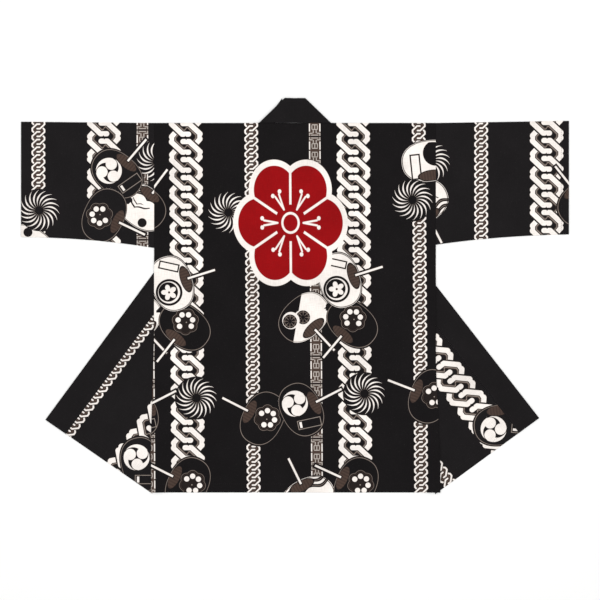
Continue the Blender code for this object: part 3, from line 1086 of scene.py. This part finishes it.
def make_collar_back():
    """The collar across the neck: cloth folded double, along lines from the seam to the fold."""
    share, thin = edged(-1.0, 1.0, NECK_SHARE, BAND / 2 / NECK_HALF)
    start = np.stack((share * mitre_x(GAP), 0 * share + GAP), axis=-1)
    end = np.stack((share * mitre_x(COLLAR_WIDTH), 0 * share + COLLAR_WIDTH), axis=-1)
    flat, out = along_lines(start, end, doubled_section(NECK_STEPS), BAND / 2, thin)
    return closed_mesh("collar_cloth_back", neck_points(flat, out), plain_maps(flat))


def sleeve_points(sleeve, flat, out):
    """Places on the upper layer of a sleeve, out in halves of the cloth."""
    height = CLOTH * (2.5 + out / 2) + GAP + creases(flat, SLEEVE_CREASES[sleeve.side])
    return in_frame(flat, height, sleeve.side)


def make_sleeve(sleeve):
    """One cloth folded over the sleeve's top and joined below: a flat tube with a wall.

    Across the grid the point goes round the tube: up the lower layer, over the top, down the
    upper layer and round the bottom. Along the grid it goes out on the outer face from the body
    to the cuff, round the cut edge and back on the inner face.
    """
    side = sleeve.side
    places, out = edged(SLEEVE_START, SLEEVE_END, STEP, CLOTH / 2)
    places = np.concatenate((places, places[::-1][1:-1]))
    out = np.concatenate((out, -out[::-1][1:-1]))
    share = (places - SLEEVE_START) / (SLEEVE_END - SLEEVE_START)
    bend = (CLOTH + GAP) / 2
    top = sleeve.cuff_lift * share
    depth = sleeve.cuff_depth + (sleeve.body_depth - sleeve.cuff_depth) * (1 - share) ** (
        SLEEVE_CURVE)
    highest, lowest = top - bend - CLOTH / 2, top - depth + bend + CLOTH / 2
    level = np.linspace(0, 1, int(sleeve.cuff_depth / STEP))
    turn = np.radians(np.linspace(-90, 90, 7)[1:-1])
    up = np.concatenate((level, level[-1] + 0 * turn, level[::-1], 0 * turn))
    ahead = np.concatenate((0 * level, np.cos(turn), 0 * level, -np.cos(turn)))
    over = np.concatenate((0 * level - 1, np.sin(turn), 0 * level + 1, -np.sin(turn)))
    radius = bend + out[:, None] * CLOTH / 2
    y = lowest[:, None] + (highest - lowest)[:, None] * up + radius * ahead
    z = CLOTH / 2 + bend + radius * over
    flat = np.stack((places[:, None] + 0 * y, y), axis=-1)
    lift = creases(flat, SLEEVE_CREASES[side]) * np.clip((over + 1) / 2, 0, 1)

    def maps(pick):
        corners = pick(flat) * np.array((side, 1.0))
        upper = pick(over + 0 * y).mean(axis=-1) > 0
        cloth = corners - np.array((side * SLEEVE_WIDE_AT[side], 0.0))
        cloth = cloth * np.where(upper[:, None, None], (-1.0, -1.0), (-1.0, 1.0))
        cloth = cloth + np.array((0.0, SLEEVE_SLIDE[side]))
        return print_maps(cloth, pick(out[:, None] + 0 * y).sum(axis=-1) > 0, [
            (upper, corners * 1000, SLEEVE_MOTIFS[side]),
            (~upper, corners * 1000 * np.array((-1.0, 1.0)), SLEEVE_MOTIFS[-side])])

    points = in_frame(flat, z + lift, side)
    return closed_mesh(f"sleeve_cloth_{sleeve.name}", points, maps, round_rows=True)


# Sewing

THREAD = 0.00023               # half of a thread's thickness
PITCH, SEWN = 0.0046, 0.0032   # from stitch to stitch, and the length of one
HEM, CUFF, EDGE = 0.020, 0.018, 0.0030   # how far rows lie from a hem, a cuff and a seam
RINGS, SIDES = 7, 6            # points along a stitch and round it
BESIDE = 0.016                 # rows on the fronts show from this far outside the side seam
SIDE_END = 0.004               # and rows along a hem end this far inside it
COLLAR_ROW = -0.2              # where the row down a collar starts
WALL = {"printed_cotton": CLOTH, "collar_cotton": BAND}


def sew(name, slot, thread, rows, place, shown=None, up=1):
    """Rows of running stitches on a surface, as one mesh.

    rows are pairs of a start and an end on the flat cloth. place gives the place of a flat place
    and a distance out, shown tells which places get a stitch, and up is 1 or -1 for the face of
    the cloth that they lie on. A stitch rises out of the cloth, runs along it and sinks back,
    thinning to a point inside the cloth at each end.
    """
    starts, ways = [], []
    for start, end in rows:
        start, reach = np.array(start), np.array(end) - np.array(start)
        length = np.linalg.norm(reach)
        at = np.arange(PITCH, length - PITCH, PITCH)
        starts.append(start + at[:, None] * reach / length)
        ways.append(np.tile(reach / length, (len(at), 1)))
    starts, ways = np.concatenate(starts), np.concatenate(ways)
    if shown is not None:
        seen = shown(place(starts, np.full(len(starts), float(up))))
        starts, ways = starts[seen], ways[seen]
    share = np.linspace(0, 1, RINGS)
    side = np.linspace(0, 2 * np.pi, SIDES + 1)[:-1]
    hump = np.sin(np.pi * share)[:, None]
    thick = THREAD * np.minimum(1, 3 * hump)
    lift = (1.6 * hump - 1.3) * THREAD + thick * np.sin(side)
    across = np.stack((-ways[:, 1], ways[:, 0]), axis=-1)
    flat = (starts[:, None, None] + (SEWN * share)[None, :, None, None] * ways[:, None, None]
            + (thick * np.cos(side))[None, ..., None] * across[:, None, None])
    out = up * (1 + lift / (WALL[slot] / 2))
    points = place(flat, out * np.ones(flat.shape[:-1]))
    index = np.arange(len(starts) * RINGS * SIDES).reshape(len(starts), RINGS, SIDES)
    index = np.concatenate((index, index[..., :1]), axis=2)
    low, high = index[:, :-1], index[:, 1:]
    faces = np.stack((low[..., :-1], high[..., :-1], high[..., 1:], low[..., 1:]), axis=-1)
    piece = add_piece(name, points.reshape(-1, 3), faces.reshape(-1, 4))
    piece.data.materials.append(thread)
    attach(piece, "root")
    return piece


def beside_back(points):
    """Places that the back doesn't cover."""
    return np.abs(points[:, 0]) > BODY_HALF + BESIDE


# Floor, light and camera

CAMERA_AT, ACROSS, SENSOR = (0.0117, -0.0089, 5.0), 1.400, 36.0   # ACROSS the picture, in metres
FLOOR_HALF, FLOOR_Z = 6.0, -0.0002
WORLD_LIGHT = 0.75


def make_floor():
    corners = np.array(((-1.0, -1.0, 0.0), (1.0, -1.0, 0.0), (1.0, 1.0, 0.0), (-1.0, 1.0, 0.0)))
    floor = add_piece("floor", FLOOR_HALF * corners, np.array(((0, 1, 2, 3),)))
    floor.data.materials.append(pale_floor())
    floor.location.z = FLOOR_Z
    floor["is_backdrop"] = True


def make_light(name, place, size, power):
    """A square soft light that faces the middle of the coat."""
    light = bpy.data.lights.new(name, "AREA")
    light.size, light.energy = size, power
    lamp = bpy.data.objects.new(name, light)
    lamp.location = place
    aim = -np.array(place)
    lamp.rotation_euler = (math.atan2(math.hypot(aim[0], aim[1]), -aim[2]), 0.0,
                           math.atan2(aim[0], -aim[1]) if aim[0] or aim[1] else 0.0)
    bpy.context.scene.collection.objects.link(lamp)


def make_camera():
    """Straight above the coat, with a long lens."""
    camera = bpy.data.cameras.new("camera")
    camera.sensor_width = SENSOR
    camera.lens = SENSOR * CAMERA_AT[2] / ACROSS
    eye = bpy.data.objects.new("camera", camera)
    eye.location = CAMERA_AT
    bpy.context.scene.collection.objects.link(eye)
    bpy.context.scene.camera = eye


def main():
    scene = bpy.context.scene
    make_camera()
    make_floor()
    make_light("softbox_top", (0.0, 0.6, 3.2), 3.0, 60.0)
    make_light("softbox_side", (-2.4, 1.2, 2.0), 1.6, 22.0)
    make_light("softbox_front", (2.0, -2.2, 2.2), 1.6, 16.0)
    world = bpy.data.worlds.new("studio")
    world.use_nodes = True
    world.node_tree.nodes["Background"].inputs[0].default_value = (1.0, 1.0, 1.0, 1.0)
    world.node_tree.nodes["Background"].inputs[1].default_value = WORLD_LIGHT
    scene.world = world
    scene.view_settings.view_transform = "Standard"

    body_print = printed_cotton("printed_cotton", False)
    back_print = printed_cotton("printed_cotton_back_painted_shade", True)
    collar, thread = collar_cotton(), black_thread()
    width = BODY_HALF - SIDE_END

    back = dress(make_back(), "back", back_print)
    low = -BACK_LENGTH + HEM
    rows = sew("stitches_back", "printed_cotton", thread, [((-width, low), (width, low))],
               back_points)
    for front in FRONTS.values():
        piece = dress(make_front(front), f"front_{front.name}", body_print)
        inner = NECK_HALF + EDGE
        hem = ((inner, hem_y(inner) + HEM), (width, hem_y(width) + HEM))
        rows = sew(f"stitches_front_{front.name}", "printed_cotton", thread, [hem],
                   partial(front_points, front), beside_back, -1)
        band = dress(make_collar_side(front), f"collar_{front.name}", collar)
        inner, outer = NECK_HALF - EDGE, FREE_EDGE + EDGE
        lines = [((inner, COLLAR_ROW), (inner, hem_y(inner))),
                 ((outer, hem_y(outer) + EDGE), (inner, hem_y(inner) + EDGE))]
        rows = sew(f"stitches_collar_{front.name}", "collar_cotton", thread, lines,
                   partial(collar_points, front), beside_back, -1)
    neck = dress(make_collar_back(), "collar_back", collar)
    end = mitre_x(EDGE) - EDGE
    rows = sew("stitches_collar_back", "collar_cotton", thread, [((-end, EDGE), (end, EDGE))],
               neck_points)
    for sleeve in SLEEVES:
        piece = dress(make_sleeve(sleeve), f"sleeve_{sleeve.name}", body_print)
        cuff = SLEEVE_END - CUFF
        line = ((cuff, sleeve.cuff_lift - EDGE), (cuff, EDGE - sleeve.cuff_depth))
        rows = sew(f"stitches_sleeve_{sleeve.name}", "printed_cotton", thread, [line],
                   partial(sleeve_points, sleeve))

    low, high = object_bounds()


main()
